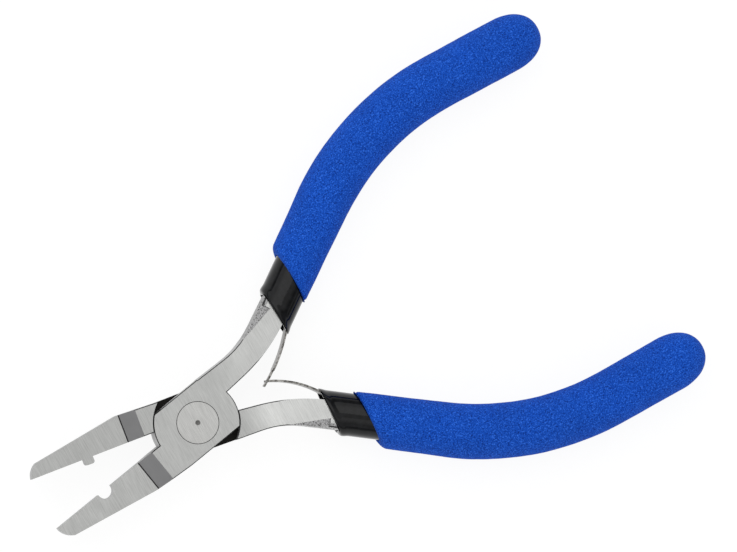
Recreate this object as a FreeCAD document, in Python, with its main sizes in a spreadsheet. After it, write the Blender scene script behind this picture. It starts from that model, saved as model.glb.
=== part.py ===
"""Sprung snap setting pliers with dipped and foam covered handles.

The origin is on the pivot axis, at the back face of the steel. +Z runs along the pivot
towards the face with the large rivet head, -X runs to the jaw tips, and the tool lies
sprung open. Each half is drawn closed, and its Placement turns it half the opening.
"""
import FreeCAD
import Part
import Sketcher
import math
import os

SHEET = "Sizes"
TOUCH = 1e-4  # two places this near are the same, mm
PAST = "1"  # how far an outline runs past the face that it cuts or joins, mm
WIDE = "30"  # half the width of the outline that cuts off a tube's mouth, mm
TUBE_START = "-6"  # where a tube is drawn from, along the handle, before its mouth is cut, mm

SIZES = [
    ("open_angle", 18.0, "full opening between the jaws, degrees"),
    ("jaw_skew", 1.3, "jaws to handles, measured about the pivot, degrees"),
    ("rivet_offset", 0.45, "centre line of the body above the pivot"),
    ("joint_thickness", 8.8, "both laps together"),
    ("lap_gap", 0.06, "running gap between the laps"),
    ("joint_half_width", 6.45, "centre line to the straight edge of the joint"),
    ("boss_jaw_radius", 9.1, "round edge of the lap on the jaw side"),
    ("boss_handle_radius", 8.7, "round edge of the lap on the handle side"),
    ("shoulder_gap", 0.12, "lap edge to the shoulder round it"),
    ("edge_break", 0.18, "small chamfer on the ground edges"),
    ("jaw_length", 35.65, "pivot to jaw tip"),
    ("jaw_thickness", 4.6, "jaws beyond the ramps"),
    ("jaw_rise", 0.85, "closing face above the centre line"),
    ("closing_gap", 0.1, "gap between the closed jaws"),
    ("jaw_taper_start", 15.0, "pivot to where the back of a jaw starts to taper"),
    ("front_jaw_back", 5.95, "centre line to the front jaw's back at the taper start"),
    ("rear_jaw_back", 6.85, "centre line to the rear jaw's back at the taper start"),
    ("front_tip_width", 3.3, "front jaw at the nose"),
    ("rear_tip_width", 2.8, "rear jaw at the nose"),
    ("nose_length", 1.9, "length of the rounded nose"),
    ("nose_radius", 3.8, "curve of the nose"),
    ("ramp_start", 11.1, "pivot to the top of the ramps"),
    ("ramp_end", 14.4, "pivot to the foot of the ramps"),
    ("ramp_lip", 0.25, "short step at the foot of a ramp"),
    ("notch_place", 23.3, "pivot to the middle of the notch and the nib"),
    ("notch_radius", 1.65, "round notch for a stud"),
    ("notch_sink", 0.1, "notch centre below the closing face"),
    ("nib_width", 2.0, "nib that enters the notch"),
    ("nib_height", 1.4, "nib that enters the notch"),
    ("nib_round", 0.5, "corner of the nib"),
    ("head_diameter", 8.8, "front rivet head"),
    ("head_depth", 2.2, "front rivet head"),
    ("rivet_diameter", 5.0, "rivet shank"),
    ("rivet_gap", 0.04, "radial running gap on the rivet shank"),
    ("tail_diameter", 6.6, "rear rivet head"),
    ("tail_depth", 1.3, "rear rivet head"),
    ("head_dish", 0.5, "turned centre mark in the front head"),
    ("head_edge", 0.12, "small chamfer on the front head"),
    ("handle_angle", 26.9, "spread of a closed handle from the centre line, degrees"),
    ("mouth_place", 26.5, "pivot to the dipped sleeve's mouth, along X"),
    ("mouth_height", 8.2, "centre line to the middle of the handle at the mouth"),
    ("mouth_lean", 5.5, "mouth of the sleeve to square, degrees"),
    ("shank_inner_rise", 5.0, "slope of the shank's inner edge at the joint, degrees"),
    ("shank_inner_share", 0.889, "part of the shank's inner flank that the curve takes"),
    ("shank_outer_radius", 20.0, "curve of the shank's outer edge"),
    ("tang_width", 5.8, "handle bar in the plane of the tool"),
    ("tang_inset", 0.7, "face of the handle bar below the ground face"),
    ("tang_corner", 1.7, "rounded corner of the handle bar"),
    ("facet_start", 16.5, "pivot to where the unground edge begins"),
    ("facet_lift", 0.55, "unground edge's start outside the joint's straight edge"),
    ("facet_width", 2.6, "unground edge in plan, at the mouth"),
    ("facet_drop", 1.5, "unground edge below the ground face, at the mouth"),
    ("shank_taper_start", 17.0, "pivot to where the shank begins to thin"),
    ("bend_start", 24.0, "mouth to the handle's bend, along the handle"),
    ("bend_radius", 57.0, "handle's bend, at its middle line"),
    ("bend_angle", 36.4, "handle's bend, degrees"),
    ("front_tail", 23.2, "bend to the end of the front grip"),
    ("rear_tail", 21.4, "bend to the end of the rear grip"),
    ("dip_wall", 0.95, "dipped sleeve on the handle bar"),
    ("dip_cover", 0.6, "dipped sleeve over the leaf"),
    ("cover_past", 1.0, "thicker side of the sleeve beyond the leaf's foot"),
    ("cover_end_wall", 0.8, "end of the leaf's space inside the sleeve"),
    ("dip_corner", 2.9, "rounded corner of the sleeve"),
    ("dip_gap", 0.03, "sleeve to handle bar"),
    ("slot_gap", 0.1, "sleeve to leaf"),
    ("dip_end_wall", 1.2, "closed end of the sleeve"),
    ("grip_step", 7.1, "sleeve's mouth to the foam grip's mouth, along X"),
    ("grip_mouth_lean", 6.5, "mouth of the foam to square, degrees"),
    ("grip_wall", 2.9, "handle bar to the outside of the foam, in the plane of the tool"),
    ("grip_side_wall", 2.7, "handle bar to the outside of the foam, across the tool"),
    ("grip_end_wall", 4.0, "closed end of the foam"),
    ("grip_end_round", 4.6, "rounding of the foam's far end"),
    ("grip_gap", 0.03, "foam to sleeve"),
    ("leaf_thickness", 0.4, "spring strip"),
    ("leaf_width", 4.8, "spring strip"),
    ("leaf_foot", 3.5, "centre line to the leaf where it leaves the sleeve"),
    ("leaf_start", 0.05, "root to blade at the flexing line"),
    ("leaf_length", 11.5, "leaf from the sleeve to where the two cross"),
    ("front_leaf_past", 1.2, "front leaf beyond the crossing"),
    ("rear_leaf_past", 0.45, "rear leaf beyond the crossing"),
    ("tongue_width", 2.0, "narrow end of the front leaf"),
    ("tongue_start", 1.3, "shoulders of the tongue before the crossing"),
    ("fork_side_gap", 0.3, "forked end of the rear leaf to the tongue, each side"),
    ("fork_depth", 0.85, "fork from the crossing towards the sleeve"),
    ("leaf_foot_length", 5.6, "flat end of the leaf on the handle bar"),
    ("leaf_slope_length", 10.4, "sprung-off part of the leaf inside the sleeve"),
    ("pin_diameter", 1.6, "rivet that holds a leaf"),
    ("pin_head", 2.6, "head of that rivet"),
    ("pin_head_height", 0.45, "head of that rivet"),
    ("pin_depth", 3.0, "that rivet in the handle bar"),
]

doc = FreeCAD.newDocument("SnapSettingPliers")
sheet = doc.addObject("Spreadsheet::Sheet", SHEET)


def fill_sheet():
    """One row per size: its name, its number and what it measures."""
    for row, (alias, value, meaning) in enumerate(SIZES, start=1):
        sheet.set(f"A{row}", alias)
        sheet.set(f"B{row}", str(value))
        sheet.set(f"C{row}", meaning)
        sheet.setAlias(f"B{row}", alias)
    doc.recompute()


def size(name):
    """The formula that reads one cell."""
    return f"{SHEET}.{name}"


def number(formula):
    """The present value of a formula."""
    value = sheet.evalExpression(str(formula))
    return float(getattr(value, "Value", value))


def cosine(angle):
    return f"cos(({angle}) * 1 deg)"


def sine(angle):
    return f"sin(({angle}) * 1 deg)"


def tangent(angle):
    return f"tan(({angle}) * 1 deg)"


class Half:
    """What differs between the front and the rear half."""

    def __init__(self, name, sign):
        self.name = name
        self.sign = sign
        self.turn = f"{sign} * {size('open_angle')} / 2"

    def y(self, height):
        """Y of a height above the centre line, on this half's own handle side."""
        return f"{size('rivet_offset')} + {self.sign} * ({height})"


FRONT = Half("front", 1)
REAR = Half("rear", -1)


# ---- sketches and features ------------------------------------------------------------

def rebuild():
    """Recomputes the document, and stops if any object failed."""
    doc.recompute()
    for thing in doc.Objects:
        if "Invalid" in thing.State or "Error" in thing.State:
            raise RuntimeError(f"{thing.FullName} failed: {thing.State} {thing.getStatusString()}")


def new_body(label):
    body = doc.addObject("PartDesign::Body", label)
    body.Label = label
    return body


def turn_with(body, half):
    """Opens the body with its half, about the pivot."""
    body.Placement = FreeCAD.Placement(FreeCAD.Vector(), FreeCAD.Rotation(FreeCAD.Vector(0, 0, 1), 1))
    body.setExpression("Placement.Rotation.Angle", f"({half.turn}) * 1 deg")


def origin_plane(body, role):
    return next(plane for plane in body.Origin.OriginFeatures if plane.Role == role)


def new_sketch(body, name, role="XY_Plane", place=(0, 0, 0), turn=None, axis=(0, 0, 1)):
    """A sketch on one of the body's planes, moved and turned by formulas."""
    sketch = body.newObject("Sketcher::SketchObject", name)
    sketch.AttachmentSupport = [(origin_plane(body, role), "")]
    sketch.MapMode = "FlatFace"
    spin = FreeCAD.Rotation(FreeCAD.Vector(*axis), 1 if turn else 0)
    sketch.AttachmentOffset = FreeCAD.Placement(FreeCAD.Vector(), spin)
    for letter, formula in zip("xyz", place):
        if formula:
            sketch.setExpression(f"AttachmentOffset.Base.{letter}", f"({formula}) * 1 mm")
    if turn:
        sketch.setExpression("AttachmentOffset.Rotation.Angle", f"({turn}) * 1 deg")
    return sketch


def bind(sketch, kind, *where, formula):
    """A dimension held by a formula."""
    index = sketch.addConstraint(Sketcher.Constraint(kind, *where, number(formula)))
    sketch.setExpression(f"Constraints[{index}]", str(formula))


def pin_point(sketch, edge, end, point):
    """Holds one end of an edge at (x, y) from the sketch's origin."""
    bind(sketch, "DistanceX", -1, 1, edge, end, formula=point[0])
    bind(sketch, "DistanceY", -1, 1, edge, end, formula=point[1])


def arc_between(first, last, radius, left):
    """The minor arc of a radius from first to last that bulges to the left or the right."""
    chord = last - first
    half = chord.Length / 2
    side = FreeCAD.Vector(-chord.y, chord.x, 0).normalize() * (1 if left else -1)
    rise = radius - math.sqrt(radius ** 2 - half ** 2)
    return Part.Arc(first, first + chord / 2 + side * rise, last)


def outline(sketch, corners, closed=True):
    """Lines and arcs through the corners.

    A corner is (x, y), or (x, y, radius, left) where an arc starts that bulges to the
    left or the right of the way to the next corner.
    """
    points = [FreeCAD.Vector(number(c[0]), number(c[1]), 0) for c in corners]
    count = len(corners) if closed else len(corners) - 1
    for index in range(count):
        first = points[index]
        last = points[(index + 1) % len(points)]
        corner = corners[index]
        if len(corner) == 2:
            sketch.addGeometry(Part.LineSegment(first, last))
        else:
            sketch.addGeometry(arc_between(first, last, number(corner[2]), corner[3]))
    starts = [corner_end(sketch, index, points[index]) for index in range(count)]
    for index in range(count):
        pin_point(sketch, index, starts[index], corners[index])
        if len(corners[index]) > 2:
            bind(sketch, "Radius", index, formula=corners[index][2])
    for index in range(count if closed else count - 1):
        after = (index + 1) % count
        sketch.addConstraint(
            Sketcher.Constraint("Coincident", index, 3 - starts[index], after, starts[after]))
    if not closed:
        pin_point(sketch, count - 1, 3 - starts[-1], corners[-1])
    return sketch


def corner_end(sketch, edge, point):
    """1 or 2: the end of an edge that lies on a point, because arcs may run backwards."""
    return 1 if sketch.getPoint(edge, 1).distanceToPoint(point) < TOUCH else 2


def circle(sketch, x, y, radius):
    edge = sketch.addGeometry(Part.Circle(FreeCAD.Vector(number(x), number(y), 0),
                                          FreeCAD.Vector(0, 0, 1), number(radius)))
    bind(sketch, "Radius", edge, formula=radius)
    pin_point(sketch, edge, 3, (x, y))
    return sketch


def oval(sketch, half_x, half_y):
    """An ellipse about the sketch's origin."""
    a, b = number(half_x), number(half_y)
    long_x = a >= b
    major = FreeCAD.Vector(a, 0, 0) if long_x else FreeCAD.Vector(0, b, 0)
    minor = FreeCAD.Vector(0, b, 0) if long_x else FreeCAD.Vector(-a, 0, 0)
    edge = sketch.addGeometry(Part.Ellipse(major, minor, FreeCAD.Vector()))
    sketch.exposeInternalGeometry(edge)
    sketch.addConstraint(Sketcher.Constraint("Coincident", edge, 3, -1, 1))
    for line, reach, other in ((1, major, True), (2, minor, False)):
        end = corner_end(sketch, line, reach)
        along_x = abs(reach.x) > TOUCH
        sign = "-" if reach.x + reach.y < 0 else ""
        length = f"{sign}({half_x if along_x else half_y})"
        bind(sketch, "DistanceX" if along_x else "DistanceY", -1, 1, line, end, formula=length)
        if other:
            bind(sketch, "DistanceY" if along_x else "DistanceX", -1, 1, line, end, formula="0")
    return sketch


def rounded_box(sketch, low_x, high_x, half_y, corner):
    """A rectangle from low_x to high_x and +-half_y with round corners."""
    inner_low = f"({low_x}) + ({corner})"
    inner_high = f"({high_x}) - ({corner})"
    straight = f"({half_y}) - ({corner})"
    corners = [
        (inner_low, f"-({half_y})"), (inner_high, f"-({half_y})", corner, False),
        (high_x, f"-({straight})"), (high_x, straight, corner, False),
        (inner_high, half_y), (inner_low, half_y, corner, False),
        (low_x, straight), (low_x, f"-({straight})", corner, False),
    ]
    return outline(sketch, corners)


def feature(body, kind, name, sketch, **settings):
    """A feature on a sketch. Text settings that are formulas are bound, the rest set."""
    made = body.newObject(f"PartDesign::{kind}", name)
    made.Profile = sketch
    for key, value in settings.items():
        if isinstance(value, str) and key in ("Length", "Length2", "Angle"):
            made.setExpression(key, value)
        else:
            setattr(made, key, value)
    sketch.Visibility = False
    body.Tip = made
    rebuild()
    return made


def cut(body, kind, name, sketch, **settings):
    """A cutting feature, which has to take something away."""
    before = body.Shape.Volume
    made = feature(body, kind, name, sketch, **settings)
    if not body.Shape.Volume < before - TOUCH:
        raise RuntimeError(f"{body.Label}: {name} cuts nothing")
    return made


def dress(body, kind, name, wanted, bound, formula):
    """A fillet or a chamfer on every edge that wanted(edge) picks."""
    shape = body.Shape
    names = [f"Edge{i}" for i, edge in enumerate(shape.Edges, start=1) if wanted(edge)]
    if not names:
        raise RuntimeError(f"{body.Label}: {name} finds no edge")
    base = body.Tip
    made = body.newObject(f"PartDesign::{kind}", name)
    made.Base = (base, names)
    made.setExpression(bound, formula)
    body.Tip = made
    rebuild()
    return made


def flat_at(edge, height):
    """Whether the whole edge lies at one height."""
    box = edge.BoundBox
    return abs(box.ZMin - height) < TOUCH and abs(box.ZMax - height) < TOUCH


# ---- shared places --------------------------------------------------------------------

MIDDLE = f"{size('joint_thickness')} / 2"
TOP = size("joint_thickness")
SPREAD = size("handle_angle")
TANG_THICKNESS = f"({TOP} - 2 * {size('tang_inset')})"
GRIP_MOUTH = f"({size('mouth_place')} + {size('grip_step')})"


def handle_point(half, along, across):
    """A place by the straight part of the handle: along it from the mouth, and outwards."""
    x = f"{size('mouth_place')} + ({along}) * {cosine(SPREAD)} - ({across}) * {sine(SPREAD)}"
    height = f"{size('mouth_height')} + ({along}) * {sine(SPREAD)} + ({across}) * {cosine(SPREAD)}"
    return x, half.y(height)


def bend_point(half, turned, beyond="0"):
    """A place on the middle line after the bend has turned some degrees, then straight on."""
    radius = size("bend_radius")
    way = f"({SPREAD} - ({turned}))"
    x = (f"{size('mouth_place')} + {size('bend_start')} * {cosine(SPREAD)}"
         f" + {radius} * ({sine(SPREAD)} - {sine(way)}) + ({beyond}) * {cosine(way)}")
    height = (f"{size('mouth_height')} + {size('bend_start')} * {sine(SPREAD)}"
              f" + {radius} * ({cosine(way)} - {cosine(SPREAD)}) + ({beyond}) * {sine(way)}")
    return x, half.y(height)


def handle_path(body, half, name, start, tail):
    """The middle line of the handle: straight, bend, straight."""
    sketch = new_sketch(body, name, place=("0", "0", MIDDLE))
    corners = [
        handle_point(half, start, "0"),
        (*handle_point(half, size("bend_start"), "0"), size("bend_radius"), half.sign > 0),
        bend_point(half, size("bend_angle")),
        bend_point(half, size("bend_angle"), tail),
    ]
    outline(sketch, corners, closed=False)
    sketch.Visibility = False
    return sketch


def handle_section(body, half, name, start):
    """A sketch square to the start of the handle: its x runs outwards, its y along Z."""
    x, y = handle_point(half, start, "0")
    return new_sketch(body, name, role="XZ_Plane", place=(x, MIDDLE, f"-({y})"),
                      turn=f"{half.sign} * ({SPREAD} + 90)", axis=(0, 1, 0))


def tail_of(half):
    return size(f"{half.name}_tail")


def tang_tail(half):
    """End of the handle bar beyond the bend, inside the closed ends of sleeve and foam."""
    return f"{tail_of(half)} - {size('grip_end_wall')} - {size('dip_end_wall')}"


def leaf_slope_angle():
    """Slope of the sprung-off part of the leaf, which meets the handle bar at its far end."""
    drop = (f"({size('mouth_height')} - {size('leaf_foot')}) * {cosine(SPREAD)}"
            f" - {size('tang_width')} / 2 - {size('leaf_thickness')} / 2")
    return f"asin(({drop}) / {size('leaf_slope_length')}) / 1 deg"


# ---- steel halves ---------------------------------------------------------------------

def on_radius(radius, height, half, jaw_side):
    """X where a circle about the pivot meets a height above the centre line."""
    rise = f"({height}) + {half.sign} * {size('rivet_offset')}"
    return f"{'-' if jaw_side else ''}sqrt(({radius})^2 - ({rise})^2)"


def jaw_and_boss(body, half):
    """The jaw and the round lap, as one plate of the full thickness."""
    face = f"{half.sign} * {size('jaw_rise')} - {size('closing_gap')} / 2"
    back = f"-{size(half.name + '_jaw_back')}"
    edge = size("joint_half_width")
    nose = f"({face}) - {size(half.name + '_tip_width')}"
    jaw_arc = size("boss_jaw_radius")
    handle_arc = size("boss_handle_radius")
    bulge = half.sign < 0
    corners = [
        (f"-{size('jaw_length')}", half.y(face), size("nose_radius"), bulge),
        (f"{size('nose_length')} - {size('jaw_length')}", half.y(nose)),
        (f"-{size('jaw_taper_start')}", half.y(back)),
        (f"-{size('joint_half_width')}", half.y(f"-{edge}")),
        (on_radius(handle_arc, f"-{edge}", half, False), half.y(f"-{edge}"), handle_arc, bulge),
        (on_radius(handle_arc, edge, half, False), half.y(edge)),
        (on_radius(jaw_arc, edge, half, True), half.y(edge), jaw_arc, bulge),
        (on_radius(jaw_arc, face, half, True), half.y(face)),
    ]
    sketch = new_sketch(body, "JawOutline", turn=size("jaw_skew"))
    outline(sketch, corners)
    feature(body, "Pad", "JawPad", sketch, Length=TOP)


def shank(body, half):
    """The flat of the handle from the lap to just inside the sleeve."""
    rise = size("shank_inner_rise")
    edge = size("joint_half_width")
    outer_r = size("shank_outer_radius")
    half_width = f"{size('tang_width')} / 2"
    inner_turn = f"({SPREAD} - {rise})"
    start_x = size("boss_handle_radius")
    start_y = size("jaw_rise")
    end = (f"{size('mouth_place')} + {half_width} * {sine(SPREAD)}",
           f"{size('mouth_height')} - {half_width} * {cosine(SPREAD)}")
    meet = (f"(({end[1]}) - ({end[0]}) * {tangent(SPREAD)} - {start_y} + {start_x} * {tangent(rise)})"
            f" / ({tangent(rise)} - {tangent(SPREAD)})")
    meet_y = f"({start_y} + (({meet}) - {start_x}) * {tangent(rise)})"
    reach = f"({size('shank_inner_share')} * (({end[0]}) - ({meet})) / {cosine(SPREAD)})"
    inner_r = f"{reach} / {tangent(inner_turn + ' / 2')}"
    outer_end = (f"{size('mouth_place')} - {half_width} * {sine(SPREAD)}",
                 f"{size('mouth_height')} + {half_width} * {cosine(SPREAD)}")
    outer_meet = f"(({outer_end[0]}) - (({outer_end[1]}) - {edge}) / {tangent(SPREAD)})"
    outer_reach = f"{outer_r} * {tangent(SPREAD + ' / 2')}"
    bend_out = half.sign < 0
    corners = [
        ("0", half.y(start_y)),
        (start_x, half.y(start_y)),
        (f"({meet}) - {reach} * {cosine(rise)}", half.y(f"{meet_y} - {reach} * {sine(rise)}"),
         inner_r, bend_out),
        (f"({meet}) + {reach} * {cosine(SPREAD)}", half.y(f"{meet_y} + {reach} * {sine(SPREAD)}")),
        handle_point(half, PAST, f"-{half_width}"),
        handle_point(half, PAST, half_width),
        (f"{outer_meet} + {outer_reach} * {cosine(SPREAD)}",
         half.y(f"{edge} + {outer_reach} * {sine(SPREAD)}"), outer_r, not bend_out),
        (f"{outer_meet} - {outer_reach}", half.y(edge)),
        ("0", half.y(edge)),
    ]
    sketch = new_sketch(body, "ShankOutline")
    outline(sketch, corners)
    feature(body, "Pad", "ShankPad", sketch, Length=TOP)


def facing(height, face):
    """Z of a height below the front face, or above the back face."""
    return f"{TOP} - ({height})" if face == "Front" else f"{height}"


def side_cut(body, name, points, turn=None):
    """A cut right across the tool, drawn in side view on X and Z."""
    sketch = new_sketch(body, name + "Outline", role="XZ_Plane", turn=turn, axis=(0, 1, 0))
    outline(sketch, points)
    cut(body, "Pocket", name, sketch, Type="ThroughAll", SideType="Symmetric")


def ramps(body):
    """Both faces of the jaw step down to the jaw's own thickness."""
    depth = f"({TOP} - {size('jaw_thickness')}) / 2"
    far = f"-2 * {size('jaw_length')}"
    for face in ("Front", "Back"):
        points = [
            (f"-{size('ramp_start')}", facing("0", face)),
            (f"-{size('ramp_end')}", facing(f"{depth} - {size('ramp_lip')}", face)),
            (f"-{size('ramp_end')} - {size('ramp_lip')}", facing(depth, face)),
            (far, facing(depth, face)),
            (far, facing(f"-{PAST}", face)),
            (f"-{size('ramp_start')}", facing(f"-{PAST}", face)),
        ]
        side_cut(body, f"{face}Ramp", points, size("jaw_skew"))


def thin_shank(body):
    """Both faces of the shank ease down to the thickness of the handle bar."""
    depth = size("tang_inset")
    end = f"{size('mouth_place')} - {PAST} / 2"
    far = f"2 * {size('mouth_place')}"
    for face in ("Front", "Back"):
        points = [
            (size("shank_taper_start"), facing("0", face)),
            (end, facing(depth, face)),
            (far, facing(depth, face)),
            (far, facing(f"-{PAST}", face)),
            (size("shank_taper_start"), facing(f"-{PAST}", face)),
        ]
        side_cut(body, f"{face}Taper", points)


def unground_edge(body, half, face):
    """A sloping facet on the outer edge, that widens towards the sleeve."""
    out = f"({size('facet_width')} + {PAST})"
    fall = f"{out} * {size('facet_drop')} / {size('facet_width')}"
    half_width = f"{size('tang_width')} / 2"
    mouth_edge = f"({size('mouth_height')} + {half_width} / {cosine(SPREAD)})"
    stations = [
        (size("facet_start"), f"({size('joint_half_width')} + {size('facet_lift')})", "0"),
        (size("mouth_place"), f"({mouth_edge} - {size('facet_width')})", size("tang_inset")),
    ]
    sketches = []
    for count, (x, height, below) in enumerate(stations):
        corners = [
            (half.y(height), facing(below, face)),
            (half.y(f"{height} + {out}"), facing(f"{below} + {fall}", face)),
            (half.y(f"{height} + {out}"), facing(f"-{PAST}", face)),
            (half.y(height), facing(f"-{PAST}", face)),
        ]
        sketch = new_sketch(body, f"{face}Facet{count}", role="YZ_Plane", place=("0", "0", x))
        sketches.append(outline(sketch, corners))
    before = body.Shape.Volume
    loft = body.newObject("PartDesign::SubtractiveLoft", f"{face}Facet")
    loft.Profile = sketches[0]
    loft.Sections = [sketches[1]]
    loft.Ruled = True
    body.Tip = loft
    rebuild()
    if not body.Shape.Volume < before:
        raise RuntimeError(f"{body.Label}: the facet cuts nothing")


def tang(body, half):
    """The rounded bar that runs on inside the sleeve."""
    section = handle_section(body, half, "TangSection", "0")
    half_width = f"{size('tang_width')} / 2"
    rounded_box(section, f"-({half_width})", half_width, f"{TANG_THICKNESS} / 2",
                size("tang_corner"))
    path = handle_path(body, half, "TangPath", "0", tang_tail(half))
    pipe = body.newObject("PartDesign::AdditivePipe", "Tang")
    pipe.Profile = section
    pipe.Spine = (path, [f"Edge{i}" for i in (1, 2, 3)])
    body.Tip = pipe
    rebuild()


def lap_recess(body, half):
    """The half thickness that is cut away for the other half's lap."""
    jaw_r = f"({size('boss_jaw_radius')} + {size('shoulder_gap')})"
    handle_r = f"({size('boss_handle_radius')} + {size('shoulder_gap')})"
    depth = f"({TOP} + {size('lap_gap')}) / 2"
    front = half is FRONT
    sketch = new_sketch(body, "LapOutline", place=("0", "0", "0" if front else TOP))
    corners = [
        ("0", f"-{jaw_r}"),
        ("0", f"-{handle_r}", handle_r, False),
        (handle_r, "0", handle_r, False),
        ("0", handle_r),
        ("0", jaw_r, jaw_r, False),
        (f"-{jaw_r}", "0", jaw_r, False),
    ]
    outline(sketch, corners)
    cut(body, "Pocket", "LapRecess", sketch, Length=depth, Reversed=front)


def round_hole(body, name, height, radius, depth, up):
    """A round pocket about the pivot, from a height upwards or downwards."""
    sketch = new_sketch(body, name + "Circle", place=("0", "0", height))
    circle(sketch, "0", "0", radius)
    cut(body, "Pocket", name, sketch, Length=depth, Reversed=up)


def pin_hole(body, half):
    """A blind hole in the inner side of the handle bar for the leaf's rivet."""
    sketch = across_sketch(body, half, "PinHoleCircle", f"-{size('tang_width')} / 2")
    circle(sketch, "0", "0", f"{size('pin_diameter')} / 2")
    cut(body, "Pocket", "PinHole", sketch, Length=size("pin_depth"), Reversed=half.sign < 0)


def across_sketch(body, half, name, across):
    """A sketch flat on a side of the handle bar, at the leaf's rivet."""
    x, y = handle_point(half, pin_along(), across)
    return new_sketch(body, name, role="XZ_Plane", place=(x, MIDDLE, f"-({y})"),
                      turn=f"{half.sign} * {SPREAD}", axis=(0, 1, 0))


def steel_half(half):
    body = new_body(f"{half.name}_half")
    jaw_and_boss(body, half)
    shank(body, half)
    break_edges(body)
    ramps(body)
    thin_shank(body)
    if half is FRONT:
        notch(body)
    else:
        nib(body)
    for face in ("Front", "Back"):
        unground_edge(body, half, face)
    lap_recess(body, half)
    tang(body, half)
    if half is FRONT:
        round_hole(body, "RivetHole", "0", f"{size('rivet_diameter')} / 2", TOP, True)
        round_hole(body, "HeadSeat", TOP, f"{size('head_diameter')} / 2", size("head_depth"), False)
    else:
        gap = size("rivet_gap")
        round_hole(body, "RivetHole", "0", f"{size('rivet_diameter')} / 2 + {gap}", TOP, True)
        round_hole(body, "TailSeat", "0", f"{size('tail_diameter')} / 2 + {gap}",
                   f"{size('tail_depth')} + {gap}", True)
    pin_hole(body, half)
    turn_with(body, half)
    return body


def notch(body):
    """The round notch in the front jaw, right through it."""
    sketch = new_sketch(body, "NotchCircle", turn=size("jaw_skew"))
    centre = f"{size('jaw_rise')} - {size('closing_gap')} / 2 - {size('notch_sink')}"
    circle(sketch, f"-{size('notch_place')}", FRONT.y(centre), size("notch_radius"))
    cut(body, "Pocket", "Notch", sketch, Type="ThroughAll", SideType="Symmetric")


def nib(body):
    """The small nib on the rear jaw that closes into the notch."""
    face = f"-{size('jaw_rise')} - {size('closing_gap')} / 2"
    base = f"({face}) - {PAST} / 2"
    low = f"({face}) + {size('nib_height')}"
    side = f"{size('nib_width')} / 2"
    corner = size("nib_round")
    middle = f"-{size('notch_place')}"
    corners = [
        (f"{middle} - {side}", REAR.y(base)),
        (f"{middle} - {side}", REAR.y(f"{low} - {corner}"), corner, False),
        (f"{middle} - {side} + {corner}", REAR.y(low)),
        (f"{middle} + {side} - {corner}", REAR.y(low), corner, False),
        (f"{middle} + {side}", REAR.y(f"{low} - {corner}")),
        (f"{middle} + {side}", REAR.y(base)),
    ]
    depth = f"({TOP} - {size('jaw_thickness')}) / 2"
    sketch = new_sketch(body, "NibOutline", place=("0", "0", depth), turn=size("jaw_skew"))
    outline(sketch, corners)
    feature(body, "Pad", "Nib", sketch, Length=size("jaw_thickness"))


def break_edges(body):
    """A small chamfer round both ground faces."""
    heights = (0.0, number(TOP))

    def wanted(edge):
        return any(flat_at(edge, height) for height in heights)

    dress(body, "Chamfer", "EdgeBreak", wanted, "Size", size("edge_break"))


# ---- rivets, leaves, sleeves and grips -------------------------------------------------

def turned(body, sketch):
    """A solid of revolution about the sketch's upright axis."""
    made = body.newObject("PartDesign::Revolution", "Turned")
    made.Profile = sketch
    made.ReferenceAxis = (sketch, ["V_Axis"])
    made.Angle = 360
    body.Tip = made
    rebuild()


def pivot_rivet():
    """Flush rivet: a large head in the front half and a smaller one in the rear half."""
    body = new_body("pivot_rivet")
    head = f"{size('head_diameter')} / 2"
    shaft = f"{size('rivet_diameter')} / 2"
    tail = f"{size('tail_diameter')} / 2"
    dish = size("head_dish")
    under = f"{TOP} - {size('head_depth')}"
    edge = size("head_edge")
    corners = [
        ("0", "0"), (tail, "0"), (tail, size("tail_depth")), (shaft, size("tail_depth")),
        (shaft, under), (head, under), (head, f"{TOP} - {edge}"), (f"{head} - {edge}", TOP),
        (dish, TOP), ("0", f"{TOP} - {dish} / 2"),
    ]
    sketch = new_sketch(body, "RivetProfile", role="XZ_Plane")
    outline(sketch, corners)
    turned(body, sketch)
    turn_with(body, FRONT)
    return body


def leaf_root_along():
    """Where the leaf leaves the sleeve, along the handle from the mouth's middle."""
    return f"(-({size('mouth_height')} - {size('leaf_foot')}) * {sine(SPREAD)})"


def leaf_root_across():
    return f"(-({size('mouth_height')} - {size('leaf_foot')}) * {cosine(SPREAD)})"


def foot_across():
    """Middle of the leaf's thickness where it lies on the handle bar."""
    return f"(-({size('tang_width')} + {size('leaf_thickness')}) / 2)"


def foot_along():
    return f"({leaf_root_along()} + {size('leaf_slope_length')} * {cosine(leaf_slope_angle())})"


def pin_along():
    return f"({foot_along()} + {size('leaf_foot_length')} / 2)"


def leaf_root(half):
    """The part of the leaf inside the sleeve: a sloping run and a flat foot on the bar."""
    body = new_body(f"{half.name}_leaf_root")
    t = f"{size('leaf_thickness')} / 2"
    end = f"{foot_along()} + {size('leaf_foot_length')}"
    corners = []
    run = [(leaf_root_along(), leaf_root_across()), (foot_along(), foot_across()),
           (end, foot_across())]
    for along, across in run:
        corners.append(handle_point(half, along, f"{across} - {t}"))
    for along, across in reversed(run):
        corners.append(handle_point(half, along, f"{across} + {t}"))
    sketch = new_sketch(body, "LeafOutline", place=("0", "0", MIDDLE))
    outline(sketch, corners)
    feature(body, "Pad", "LeafPad", sketch, Length=size("leaf_width"), SideType="Symmetric")
    hole = across_sketch(body, half, "PinHoleCircle", f"{foot_across()} - {t}")
    circle(hole, "0", "0", f"{size('pin_diameter')} / 2")
    cut(body, "Pocket", "PinHole", hole, Length=PAST, SideType="Symmetric")
    turn_with(body, half)
    return body


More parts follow.
